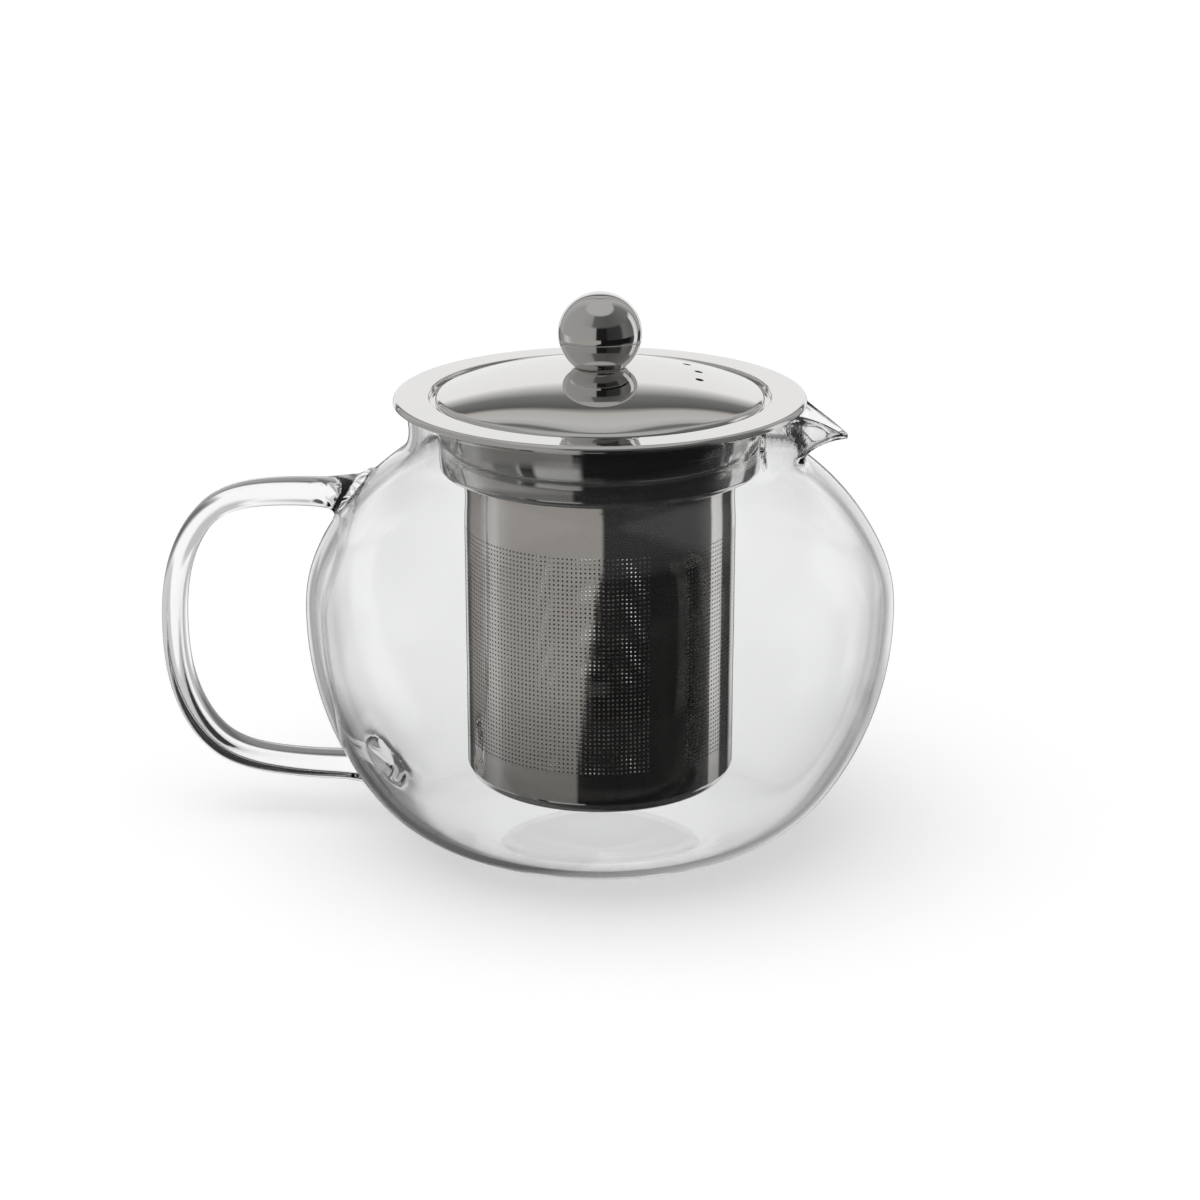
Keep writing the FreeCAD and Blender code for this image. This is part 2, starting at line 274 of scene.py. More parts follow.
def pullSpout(piece, outer, inner):
    # crowd the rings towards the spout, then draw the neck out into the lip
    points = readPoints(piece)
    turn = np.arctan2(points[:, 1], points[:, 0])
    radius = np.hypot(points[:, 0], points[:, 1])
    turn = turn - potGlass["crowding"] * np.sin(turn)
    height = points[:, 2].copy()
    near = (height > spoutLip["pullFrom"]) & (np.abs(turn) < spoutLip["pullTurn"])
    top = lipHeight(turn[near])
    rise = (height[near] - spoutLip["pullFrom"]) / (potGlass["rimHeight"] - spoutLip["pullFrom"])
    outerUp = outer[outer[:, 1] > potGlass["bellyHeight"]]
    innerUp = inner[inner[:, 1] > potGlass["bellyHeight"]]

    def skinRadius(skin, heights):
        return np.interp(heights, skin[:, 1], skin[:, 0])

    outside, inside = skinRadius(outerUp, height[near]), skinRadius(innerUp, height[near])
    depth = np.clip((outside - radius[near]) / (outside - inside), 0, 1)
    lowered = height[near] - (potGlass["rimHeight"] - top) * rise ** spoutLip["pullCurve"]
    spoutOut, spoutIn = (spoutRadius(turn[near], lowered, inside) for inside in (0, 1))
    pulledOut = weldRadius(skinRadius(outerUp, lowered), spoutOut, spoutLip["weld"])
    pulledIn = weldRadius(skinRadius(innerUp, lowered), spoutIn, spoutLip["weld"])
    radius[near] = pulledOut + (pulledIn - pulledOut) * depth
    height[near] = lowered
    writePoints(piece, np.column_stack([radius * np.cos(turn), radius * np.sin(turn), height]))


def innerSkin(outer):
    # the wall keeps its thickness and grows into the foot
    s = potGlass
    along = np.gradient(outer, axis=0)
    along /= np.linalg.norm(along, axis=1)[:, None]
    heavy = np.clip((s["heelRadius"] - outer[:, 0]) / (s["heelRadius"] - s["footRadius"]), 0, 1)
    heavy = np.where(outer[:, 1] < s["bellyHeight"] / 2, heavy * heavy * (3 - 2 * heavy), 0)
    thickness = s["wall"] + (s["floor"] - s["wall"]) * heavy
    return outer + np.column_stack([-along[:, 1], along[:, 0]]) * thickness[:, None]


def makePot():
    s = potGlass
    outer = easePoints(evenPoints(potOutline(), s["gap"]), s["easing"])
    inner = innerSkin(outer)
    half = s["wall"] / 2
    outerWall = outer[outer[:, 1] < s["rimHeight"] - half]
    innerWall = inner[inner[:, 1] < s["rimHeight"] - half]
    rimArc = arcPoints((s["rimRadius"] - half, s["rimHeight"] - half), half, 0, 180, s["rimSteps"])
    footShare = np.linspace(0, 1, s["footSteps"])[:-1]
    dome = (np.cos(np.minimum(footShare * s["puntSpread"], 1) * math.pi) + 1) / 2 * s["punt"]
    underside = [(share * s["footRadius"], rise) for share, rise in zip(footShare, dome)]
    upside = [(share * s["footRadius"], s["floor"] + rise) for share, rise in zip(footShare, dome)]
    outline = underside + [tuple(p) for p in outerWall] + rimArc + [tuple(p) for p in innerWall[::-1]]
    outline += upside[::-1]
    piece = spinOutline("teapotGlass", outline, s["steps"], False)
    pullSpout(piece, outer, inner)
    return piece, outer


glassPot, glassOuter = makePot()
print("pot blown:", len(glassPot.data.vertices), "points")


# drawn handle, melted onto the pot

handleStrap = {
    "reach": 138.0, "bow": 33.0, "top": 107.8, "middle": 62.0, "bottom": 17.5, "squareness": 2.3,
    "width": 13.0, "thickness": 7.2, "runThickness": 9.0, "rootWidth": 16.5, "rootThickness": 11.5,
    "rootFlare": 13.0, "rootDepth": 14.0, "weldFlare": 4.0, "weldSpread": 2.2, "corner": 3.0,
    "sides": 48, "stations": 240, "runSteps": 60,
}


def potReach(height):
    # the pot's outside radius at a height
    lower = glassOuter[glassOuter[:, 1] <= potGlass["bellyHeight"]]
    upper = glassOuter[glassOuter[:, 1] > potGlass["bellyHeight"]]
    return np.where(height <= potGlass["bellyHeight"],
                    np.interp(height, lower[:, 1], lower[:, 0]), np.interp(height, upper[:, 1], upper[:, 0]))


def handlePath():
    # a smooth line through the bow's points, level at both ends
    s = handleStrap
    power = 2 / s["squareness"]

    def bowPoint(degrees, rise):
        angle = math.radians(degrees)
        across = s["bow"] * math.sin(angle) ** power
        return (-(s["reach"] - s["bow"] + across), s["middle"] + rise * max(math.cos(angle), 0) ** power)

    top, bottom = s["top"] - s["middle"], s["bottom"] - s["middle"]
    knots = [(s["rootDepth"] - float(potReach(s["top"])), s["top"])]
    knots += [bowPoint(d, top) for d in (0, 30, 60, 90)] + [bowPoint(d, bottom) for d in (60, 30, 0)]
    knots.append((s["rootDepth"] - float(potReach(s["bottom"])), s["bottom"]))
    knots = np.array(knots)
    gaps = np.linalg.norm(np.diff(knots, axis=0), axis=1)
    along = np.concatenate([[0], np.cumsum(gaps)])
    count = len(knots)
    matrix = np.zeros((count, count))
    right = np.zeros((count, 2))
    matrix[0, 0] = matrix[-1, -1] = 1
    right[0], right[-1] = (-1, 0), (1, 0)
    for i in range(1, count - 1):
        before, after = gaps[i - 1], gaps[i]
        matrix[i, i - 1:i + 2] = after, 2 * (before + after), before
        right[i] = 3 * (after / before * (knots[i] - knots[i - 1]) + before / after * (knots[i + 1] - knots[i]))
    ways = np.linalg.solve(matrix, right)
    fine = []
    for i in range(count - 1):
        for t in np.linspace(0, 1, s["runSteps"], endpoint=False):
            fine.append((2 * t ** 3 - 3 * t ** 2 + 1) * knots[i] + (t ** 3 - 2 * t ** 2 + t) * gaps[i] * ways[i]
                        + (3 * t ** 2 - 2 * t ** 3) * knots[i + 1] + (t ** 3 - t ** 2) * gaps[i] * ways[i + 1])
    fine.append(knots[-1])
    return evenPoints(np.array(fine), along[-1] / s["stations"])


def barRing(spot, normal, outX, outY):
    return np.column_stack([spot[0] + normal[0] * outX, outY, spot[1] + normal[1] * outX])


def makeHandle():
    s = handleStrap
    path = handlePath()
    steps = np.diff(path, axis=0)
    travelled = np.concatenate([[0], np.cumsum(np.linalg.norm(steps, axis=1))])
    tangents = np.gradient(path, axis=0)
    tangents /= np.linalg.norm(tangents, axis=1)[:, None]
    length = travelled[-1]
    around = np.linspace(0, 2 * math.pi, s["sides"], endpoint=False)
    barX = np.sign(np.cos(around)) * np.abs(np.cos(around)) ** (2 / s["corner"])
    barY = np.sign(np.sin(around)) * np.abs(np.sin(around)) ** (2 / s["corner"])
    rings = []
    for spot, way, done in zip(path, tangents, travelled):
        fromPot = max(min(done, length - done) - s["rootDepth"], 0)
        spread = max(1 - fromPot / s["rootFlare"], 0) ** 2
        run = (1 - 2 * min(done, length - done) / length) ** 2
        thickness = s["thickness"] + (s["runThickness"] - s["thickness"]) * run
        thickness += (s["rootThickness"] - s["runThickness"]) * spread
        width = s["width"] + (s["rootWidth"] - s["width"]) * spread
        normal = np.array([way[1], -way[0]])
        plain = barRing(spot, normal, barX * thickness / 2, barY * width / 2)
        # the glass spreads where it touches the pot
        offPot = np.maximum(np.hypot(plain[:, 0], plain[:, 1]) - potReach(plain[:, 2]), 0)
        flare = s["weldSpread"] * np.clip(1 - offPot / s["weldFlare"], 0, 1) ** 2
        rings.append(barRing(spot, normal, barX * (thickness / 2 + flare), barY * (width / 2 + flare)))
    deselectAll()
    bpy.ops.mesh.primitive_circle_add(vertices=s["sides"], radius=s["width"] / 2 * mm, fill_type="NGON")
    piece = namePiece("handleGlass")
    bpy.ops.object.mode_set(mode="EDIT")
    for index, ring in enumerate(rings):
        if index:
            bpy.ops.mesh.extrude_region_move(TRANSFORM_OT_translate={"value": (0, 0, 0)})
        shaped = bmesh.from_edit_mesh(piece.data)
        moving = [vert for vert in shaped.verts if vert.select]
        for vert, place in zip(moving, ring):
            vert.co = [value * mm for value in place]
        bmesh.update_edit_mesh(piece.data)
    bpy.ops.mesh.select_all(action="SELECT")
    bpy.ops.mesh.normals_make_consistent(inside=False)
    bpy.ops.object.mode_set(mode="OBJECT")
    return piece


glassHandle = makeHandle()
print("handle drawn:", len(glassHandle.data.vertices), "points")


weldBead = {
    "depth": 1.2, "coreSteps": 200, "mergeGap": 0.004, "outFrom": 40.0, "halfWidth": 12.0, "halfHeight": 11.0,
    "under": -0.4, "over": 2.2, "softness": 0.5, "passes": 4,
}


def meltTogether(pot, strap):
    # one skin over pot and handle, with the crease of the weld softened
    s = weldBead
    core = [(max(r - s["depth"], 0.0), z) for r, z in glassOuter]
    core = [(0.0, core[0][1])] + core + [(0.0, core[-1][1])]
    combinePieces(strap, spinOutline("potCore", core, s["coreSteps"], False), "DIFFERENCE")
    combinePieces(pot, strap, "UNION")
    makeActive(pot)
    bpy.ops.object.mode_set(mode="EDIT")
    bpy.ops.mesh.select_all(action="SELECT")
    bpy.ops.mesh.remove_doubles(threshold=s["mergeGap"] * mm)
    bpy.ops.mesh.select_all(action="DESELECT")
    skin = bmesh.from_edit_mesh(pot.data)
    for vert in skin.verts:
        x, y, z = (value / mm for value in vert.co)
        offWall = math.hypot(x, y) - float(potReach(z))
        offEnd = min(abs(z - handleStrap["top"]), abs(z - handleStrap["bottom"]))
        atEnd = x < -s["outFrom"] and abs(y) < s["halfWidth"] and offEnd < s["halfHeight"]
        vert.select = atEnd and s["under"] < offWall < s["over"]
    skin.select_flush_mode()
    bmesh.update_edit_mesh(pot.data)
    bpy.ops.mesh.vertices_smooth(factor=s["softness"], repeat=s["passes"])
    bpy.ops.mesh.select_all(action="DESELECT")
    bpy.ops.object.mode_set(mode="OBJECT")
    smoothShade(pot, 60)


meltTogether(glassPot, glassHandle)
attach(glassPot, "pot")
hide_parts("glass_foot", "glass_body", "glass_neck", "glass_handle")
print("handle melted on:", len(glassPot.data.polygons), "faces")


# pressed ring that hangs the infuser in the neck

infuserRing = {
    "edge": 63.2, "top": 142.3, "lip": 1.0, "sheet": 0.8, "step": 53.7, "under": 140.1,
    "collar": 51.0, "collarLow": 49.5, "collarBottom": 122.0, "turn": 3.2, "spigot": 41.75, "roll": 1.7,
    "spigotEnd": 112.8, "bend": 0.45, "steps": 256, "lipEase": 0.15, "lipRound": 0.2, "spigotRound": 0.3,
}


def makeRing():
    # one sheet all the way: its top side from the rim down to the spigot, then back up underneath
    s = infuserRing
    t, bend = s["sheet"], s["bend"]
    shade = math.degrees(math.atan2(s["collar"] - s["collarLow"], s["under"] - s["collarBottom"]))
    turnCentre = (s["collarLow"] - s["turn"], s["collarBottom"])
    wallTop = s["collarBottom"] - s["turn"]
    roll, ease, edgeRound, endRound = s["roll"], s["lipEase"], s["lipRound"], s["spigotRound"]
    lipEnd = s["top"] - s["lip"]
    outline = [(s["edge"] + ease, lipEnd), (s["edge"] + t - ease, lipEnd)]
    outline += arcPoints((s["edge"] + t - edgeRound, lipEnd + edgeRound), edgeRound, -45, 0, 3)
    outline += arcPoints((s["edge"] + t - roll, s["top"] + t - roll), roll, 0, 90, 16)
    outline += arcPoints((s["step"], s["top"]), t, 90, 180, 12)
    outline += arcPoints((s["step"] - t - bend, s["under"] + t + bend), bend, 0, -90, 7)
    outline += arcPoints((s["collar"], s["under"]), t, 90, 180 - shade, 12)
    outline += arcPoints(turnCentre, s["turn"] - t, -shade, -90, 20)
    outline += arcPoints((s["spigot"], wallTop), t, 90, 180, 8)
    outline += [(s["spigot"] - t, s["spigotEnd"]), (s["spigot"], s["spigotEnd"])]
    outline += arcPoints((s["spigot"] + endRound, wallTop - endRound), endRound, 180, 90, 5)
    outline += arcPoints(turnCentre, s["turn"], -90, -shade, 24)
    outline += arcPoints((s["collar"] + bend, s["under"] - bend), bend, 180 - shade, 90, 6)
    outline += arcPoints((s["step"] - t, s["under"] + t), t, -90, 0, 8)
    outline += arcPoints((s["step"] + bend, s["top"] - bend), bend, 180, 90, 6)
    outline += arcPoints((s["edge"] + t - roll, s["top"] + t - roll), roll - t, 90, 0, 8)
    piece = spinOutline("infuserRing", fillRuns(outline, 2.2), s["steps"], True)
    smoothShade(piece, 40)
    return piece


ringPiece = makeRing()
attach(ringPiece, "infuser")
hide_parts("infuser_rim")
print("infuser ring pressed:", len(ringPiece.data.polygons), "faces")


# pressed dish that closes the drum

drumDish = {"radius": 41.75, "low": 19.6, "corner": 4.0, "lip": 6.0, "sheet": 0.5, "steps": 192}


def makeDish():
    s = drumDish
    flat = s["radius"] - s["corner"]
    centre = (flat, s["low"] + s["corner"])
    lipTop = centre[1] + s["lip"]
    # the sheet lies inside the outside line
    outline = [(0, s["low"]), (flat * 0.5, s["low"])] + arcPoints(centre, s["corner"], -90, 0, 16)
    outline += [(s["radius"], lipTop), (s["radius"] - s["sheet"], lipTop)]
    outline += arcPoints(centre, s["corner"] - s["sheet"], 0, -90, 12)
    outline += [(flat * 0.5, s["low"] + s["sheet"]), (0, s["low"] + s["sheet"])]
    piece = spinOutline("drumDish", fillRuns(outline, 3.0), s["steps"], False)
    smoothShade(piece, 40)
    return piece


dishPiece = makeDish()
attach(dishPiece, "infuser")
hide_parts("infuser_base")
print("drum dish pressed:", len(dishPiece.data.polygons), "faces")


# perforated drum wall, rolled from two halves of punched sheet

drumWall = {
    "radius": 42.3, "low": 23.65, "high": 118.8, "sheet": 0.5, "pitch": 1.39, "hole": 0.33,
    "columns": 91, "rows": 50, "rowsFrom": 33.8, "seam": -52.6, "seamGap": 0.05,
    "mergeGap": 0.001, "holeSides": 8, "strips": 6, "onEdge": 0.01,
}


def punchCell(name):
    # an eight-sided hole in one square of the sheet
    s = drumWall
    deselectAll()
    bpy.ops.mesh.primitive_circle_add(vertices=s["holeSides"], radius=s["hole"] * mm)
    piece = namePiece(name)
    bpy.ops.object.mode_set(mode="EDIT")
    bpy.ops.mesh.select_all(action="SELECT")
    bpy.ops.transform.rotate(value=math.pi / s["holeSides"], orient_axis="Z", center_override=(0, 0, 0))
    bpy.ops.mesh.extrude_edges_move(TRANSFORM_OT_translate={"value": (0, 0, 0)})
    half = s["pitch"] / 2 * mm
    cell = bmesh.from_edit_mesh(piece.data)
    for vert in cell.verts:
        if vert.select:
            vert.co = (math.copysign(half, vert.co.x), math.copysign(half, vert.co.y), 0)
    bmesh.update_edit_mesh(piece.data)
    bpy.ops.mesh.select_all(action="SELECT")
    bpy.ops.mesh.remove_doubles(threshold=s["mergeGap"] * mm)
    bpy.ops.object.mode_set(mode="OBJECT")
    return piece


def makeHalfWall(name, side):
    s = drumWall
    piece = punchCell(name)
    for axis, count in ((0, s["columns"]), (1, s["rows"])):
        repeat = piece.modifiers.new("repeat", "ARRAY")
        repeat.use_relative_offset = False
        repeat.use_constant_offset = True
        repeat.constant_offset_displace = [s["pitch"] * mm if axis == a else 0 for a in range(3)]
        repeat.count = count
        repeat.use_merge_vertices = True
        repeat.merge_threshold = mergeGap * mm
    applyModifiers(piece)
    bpy.ops.object.mode_set(mode="EDIT")
    sheet = bmesh.from_edit_mesh(piece.data)
    left, low = -s["pitch"] / 2, -s["pitch"] / 2
    right, high = left + s["columns"] * s["pitch"], low + s["rows"] * s["pitch"]
    halfTurn = math.pi * s["radius"]
    seamBand = halfTurn - s["columns"] * s["pitch"]  # all of the plain band lies at the seam's edge
    rowShift = s["rowsFrom"]
    edges = [(0, left, left), (0, right, right + seamBand - s["seamGap"] / 2),
             (1, low, s["low"] - rowShift), (1, high, s["high"] - rowShift)]
    for axis, place, target in edges:
        if target == place:
            continue
        bpy.ops.mesh.select_all(action="DESELECT")
        for edge in sheet.edges:
            if all(abs(vert.co[axis] / mm - place) < s["onEdge"] for vert in edge.verts):
                edge.select = True
        sheet.select_flush_mode()
        bmesh.update_edit_mesh(piece.data)
        move = [(target - place) * mm / s["strips"] if axis == a else 0 for a in range(3)]
        for _ in range(s["strips"]):
            bpy.ops.mesh.extrude_edges_move(TRANSFORM_OT_translate={"value": move})
        sheet = bmesh.from_edit_mesh(piece.data)
    bpy.ops.mesh.select_all(action="SELECT")
    bpy.ops.mesh.remove_doubles(threshold=s["mergeGap"] * mm)
    bpy.ops.object.mode_set(mode="OBJECT")
    points = readPoints(piece)
    end = right + seamBand
    turn = math.radians(s["seam"]) - side * (end - points[:, 0]) / s["radius"]
    writePoints(piece, np.column_stack([
        s["radius"] * np.cos(turn), s["radius"] * np.sin(turn), points[:, 1] + rowShift]))
    bpy.ops.object.mode_set(mode="EDIT")
    bpy.ops.mesh.select_all(action="SELECT")
    bpy.ops.mesh.normals_make_consistent(inside=False)
    sheet = bmesh.from_edit_mesh(piece.data)
    face = max(sheet.faces, key=lambda one: one.calc_area())
    centre = face.calc_center_median()
    if face.normal.x * centre.x + face.normal.y * centre.y < 0:
        bpy.ops.mesh.flip_normals()
    bpy.ops.object.mode_set(mode="OBJECT")
    thick = piece.modifiers.new("sheet", "SOLIDIFY")
    thick.thickness = s["sheet"] * mm
    thick.offset = -1
    thick.material_offset = 1
    piece.data.materials.append(None)
    piece.data.materials.append(None)
    applyModifiers(piece)
    smoothShade(piece, 40)
    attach(piece, "infuser")
    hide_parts("infuser_wall")
    return piece


wallPieces = [makeHalfWall("drumWallLeft", 1), makeHalfWall("drumWallRight", -1)]
print("drum wall rolled:", [len(piece.data.polygons) for piece in wallPieces], "faces")


# domed lid with three vents

lidDome = {
    "radius": 51.0, "edge": 140.9, "rise": 10.9, "bend": 2.0, "flat": 8.6, "hole": 2.25, "sheet": 0.8,
    "ventRadius": 1.3, "ventCircle": 31.0, "ventStep": 19.0, "ventMiddle": 17.0, "steps": 288,
    "vents": 3, "ventSides": 40, "ventDepth": 20.0, "edgeRound": 0.25,
}


def makeLid():
    s = lidDome
    top = s["edge"] + s["rise"]
    rise = s["rise"] - s["bend"]
    sphere = (s["radius"] ** 2 - s["flat"] ** 2 + rise ** 2) / (2 * rise)
    centre = top - math.sqrt(sphere ** 2 - s["flat"] ** 2)
    bendHeight = centre + math.sqrt((sphere - s["bend"]) ** 2 - (s["radius"] - s["bend"]) ** 2)
    leave = math.degrees(math.atan2(s["radius"] - s["bend"], bendHeight - centre))
    flatAngle = math.degrees(math.asin(s["flat"] / sphere))
    t = s["sheet"]
    outline = [(s["hole"], top)] + arcPoints((0, centre), sphere, 90 - flatAngle, 90 - leave, 60)
    outline += arcPoints((s["radius"] - s["bend"], bendHeight), s["bend"], 90 - leave, 0, 14)
    edgeRound = s["edgeRound"]
    outline += arcPoints((s["radius"] - edgeRound, s["edge"] + edgeRound), edgeRound, 0, -90, 4)
    outline += [(s["radius"] - t, s["edge"])]
    outline += arcPoints((s["radius"] - s["bend"], bendHeight), s["bend"] - t, 0, 90 - leave, 10)
    outline += arcPoints((0, centre), sphere - t, 90 - leave, 90 - flatAngle, 30)
    outline += [(s["hole"], top - t)]
    piece = spinOutline("lidDome", fillRuns(outline, 1.6), s["steps"], True)
    for index in range(s["vents"]):
        angle = math.radians(s["ventMiddle"] + s["ventStep"] * (index - (s["vents"] - 1) / 2))
        deselectAll()
        bpy.ops.mesh.primitive_cylinder_add(
            vertices=s["ventSides"], radius=s["ventRadius"] * mm, depth=s["ventDepth"] * mm,
            location=(s["ventCircle"] * math.cos(angle) * mm, s["ventCircle"] * math.sin(angle) * mm, top * mm))
        combinePieces(piece, namePiece("ventPunch"), "DIFFERENCE")
    smoothShade(piece, 35)
    return piece


lidPiece = makeLid()
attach(lidPiece, "lid")
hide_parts("lid_dome")
print("lid domed:", len(lidPiece.data.polygons), "faces")


# ball knob

ballKnob = {
    "radius": 12.9, "foot": 7.7, "base": 151.8, "bore": 2.0, "boreTop": 162.75, "boreTip": 1.0, "edge": 0.35,
    "edgeTurn": 1.5, "leastRadius": 0.001, "rings": 84, "steps": 160,
}


def makeKnob():
    s = ballKnob
    drop = math.sqrt(s["radius"] ** 2 - s["foot"] ** 2)
    centre = s["base"] + drop
    low = -math.degrees(math.asin(drop / s["radius"]))
    outline = [(s["foot"] - s["edge"], s["base"])]
    outline += arcPoints((0, centre), s["radius"], low + s["edgeTurn"], 90, s["rings"])
    outer = spinOutline("ballKnob", outline, s["steps"], False)
    # the bored foot is bridged to the ball's skin
    bpy.ops.object.mode_set(mode="EDIT")
    bpy.ops.mesh.select_all(action="DESELECT")
    skin = bmesh.from_edit_mesh(outer.data)
    for edge in skin.edges:
        if edge.is_boundary:
            edge.select = True
    skin.select_flush_mode()
    bmesh.update_edit_mesh(outer.data)
    shrink = s["bore"] / (s["foot"] - s["edge"])
    bpy.ops.mesh.extrude_edges_move(TRANSFORM_OT_translate={"value": (0, 0, 0)})
    bpy.ops.transform.resize(value=(shrink, shrink, 1), center_override=(0, 0, s["base"] * mm))
    bore = [(s["bore"], s["base"]), (s["bore"], s["boreTop"] - s["boreTip"]), (s["leastRadius"], s["boreTop"])]
    for start, end in zip(bore, bore[1:]):
        bpy.ops.mesh.extrude_edges_move(TRANSFORM_OT_translate={"value": (0, 0, (end[1] - start[1]) * mm)})
        ratio = end[0] / start[0]
        bpy.ops.transform.resize(value=(ratio, ratio, 1), center_override=(0, 0, end[1] * mm))
    bpy.ops.mesh.merge(type="CENTER")
    bpy.ops.mesh.select_all(action="SELECT")
    bpy.ops.mesh.normals_make_consistent(inside=False)
    bpy.ops.object.mode_set(mode="OBJECT")
    smoothShade(outer, 40)
    return outer


knobPiece = makeKnob()
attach(knobPiece, "lid")
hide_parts("lid_knob")
print("knob turned:", len(knobPiece.data.polygons), "faces")


# finishes

steelGrain = {"fine": 900.0, "broad": 60.0, "detail": 2.0, "hazeLow": 0.3, "hazeHigh": 0.7, "height": 0.01}
glassSkin = {
    "tint": (0.985, 0.99, 0.988), "bending": 1.47, "flow": 22.0, "flowDetail": 0.5, "flowStrength": 0.1,
    "flowHeight": 0.4, "haze": 0.012, "pleatFrom": 12.0, "pleatFull": 5.0, "pleats": 90.0, "pleatWave": 1.5,
    "pleatStrength": 0.8, "pleatHeight": 0.6, "weldOut": 2.0,
}


def addNode(tree, kind, **values):
    node = tree.nodes.new(kind)
    for key, value in values.items():
        setattr(node, key, value)
    return node


def mathNode(tree, operation, first, second=None):
    node = addNode(tree, "ShaderNodeMath", operation=operation)
    for index, value in enumerate((first, second)):
        if value is None:
            continue
        if isinstance(value, (int, float)):
            node.inputs[index].default_value = value
        else:
            tree.links.new(value, node.inputs[index])
    return node.outputs[0]


def makeGrainGroup():
    # polishing haze: a broad cloud and fine grains, as a mask and a height
    group = bpy.data.node_groups.new("polishGrain", "ShaderNodeTree")
    for name in ("Fine", "Broad"):
        group.interface.new_socket(name=name, in_out="INPUT", socket_type="NodeSocketFloat")
    for name in ("Haze", "Grain"):
        group.interface.new_socket(name=name, in_out="OUTPUT", socket_type="NodeSocketFloat")
    entry = addNode(group, "NodeGroupInput")
    leave = addNode(group, "NodeGroupOutput")
    place = addNode(group, "ShaderNodeTexCoord")
    haze = addNode(group, "ShaderNodeTexNoise")
    grain = addNode(group, "ShaderNodeTexNoise")
    haze.inputs["Detail"].default_value = steelGrain["detail"]
    grain.inputs["Detail"].default_value = steelGrain["detail"]
    link = group.links.new
    link(place.outputs["Object"], haze.inputs["Vector"])
    link(place.outputs["Object"], grain.inputs["Vector"])
    link(entry.outputs["Broad"], haze.inputs["Scale"])
    link(entry.outputs["Fine"], grain.inputs["Scale"])
    link(haze.outputs["Fac"], leave.inputs["Haze"])
    link(grain.outputs["Fac"], leave.inputs["Grain"])
    return group


grainGroup = makeGrainGroup()


def makeSteel(name, colours, roughness, bump, metal=1.0):
    material = bpy.data.materials.new(name)
    material.use_nodes = True
    tree = material.node_tree
    shader = tree.nodes["Principled BSDF"]
    shader.inputs["Metallic"].default_value = metal
    grain = addNode(tree, "ShaderNodeGroup", node_tree=grainGroup)
    grain.inputs["Fine"].default_value = steelGrain["fine"]
    grain.inputs["Broad"].default_value = steelGrain["broad"]
    tint = addNode(tree, "ShaderNodeMix", data_type="RGBA")
    tint.inputs[6].default_value = colours[0] + (1,)
    tint.inputs[7].default_value = colours[1] + (1,)
    dull = addNode(tree, "ShaderNodeMapRange")
    dull.inputs["To Min"].default_value = roughness[0]
    dull.inputs["To Max"].default_value = roughness[1]
    dull.inputs["From Min"].default_value = steelGrain["hazeLow"]
    dull.inputs["From Max"].default_value = steelGrain["hazeHigh"]
    rise = addNode(tree, "ShaderNodeBump")
    rise.inputs["Strength"].default_value = bump
    rise.inputs["Distance"].default_value = steelGrain["height"] * mm
    link = tree.links.new
    link(grain.outputs["Haze"], tint.inputs[0])
    link(tint.outputs[2], shader.inputs["Base Color"])
    link(grain.outputs["Haze"], dull.inputs["Value"])
    link(dull.outputs[0], shader.inputs["Roughness"])
    link(grain.outputs["Grain"], rise.inputs["Height"])
    link(rise.outputs["Normal"], shader.inputs["Normal"])
    return material


def makeGlass(name, weldSpot):
    # clear blown glass, its skin a little uneven as it cooled
    s = glassSkin
    material = bpy.data.materials.new(name)
    material.use_nodes = True
    tree = material.node_tree
    shader = tree.nodes["Principled BSDF"]
    shader.inputs["Base Color"].default_value = s["tint"] + (1,)
    shader.inputs["Metallic"].default_value = 0
    shader.inputs["Transmission Weight"].default_value = 1
    shader.inputs["IOR"].default_value = s["bending"]
    place = addNode(tree, "ShaderNodeTexCoord")
    flow = addNode(tree, "ShaderNodeTexNoise")
    flow.inputs["Scale"].default_value = s["flow"]
    flow.inputs["Detail"].default_value = s["flowDetail"]
    rise = addNode(tree, "ShaderNodeBump")
    rise.inputs["Strength"].default_value = s["flowStrength"]
    rise.inputs["Distance"].default_value = s["flowHeight"] * mm
    # pleats where the hot handle was pressed on
    off = addNode(tree, "ShaderNodeVectorMath", operation="DISTANCE")
    off.inputs[1].default_value = [value * mm for value in weldSpot]
    near = addNode(tree, "ShaderNodeMapRange")
    near.inputs["From Min"].default_value = s["pleatFrom"] * mm
    near.inputs["From Max"].default_value = s["pleatFull"] * mm
    pleat = addNode(tree, "ShaderNodeTexWave", wave_type="BANDS", bands_direction="DIAGONAL")
    pleat.inputs["Scale"].default_value = s["pleats"]
    pleat.inputs["Distortion"].default_value = s["pleatWave"]
    pleat.inputs["Detail"].default_value = 0
    fold = addNode(tree, "ShaderNodeBump")
    fold.inputs["Strength"].default_value = s["pleatStrength"]
    fold.inputs["Distance"].default_value = s["pleatHeight"] * mm
    haze = addNode(tree, "ShaderNodeMapRange")
    haze.inputs["To Min"].default_value = 0.0
    haze.inputs["To Max"].default_value = s["haze"]
    link = tree.links.new
    link(place.outputs["Object"], flow.inputs["Vector"])
    link(flow.outputs["Fac"], rise.inputs["Height"])
    link(flow.outputs["Fac"], haze.inputs["Value"])
    link(haze.outputs[0], shader.inputs["Roughness"])
    link(place.outputs["Object"], off.inputs[0])
    link(off.outputs["Value"], near.inputs["Value"])
    link(place.outputs["Object"], pleat.inputs["Vector"])
    link(mathNode(tree, "MULTIPLY", near.outputs[0], pleat.outputs["Fac"]), fold.inputs["Height"])
    link(rise.outputs["Normal"], fold.inputs["Normal"])
    link(fold.outputs["Normal"], shader.inputs["Normal"])
    return material


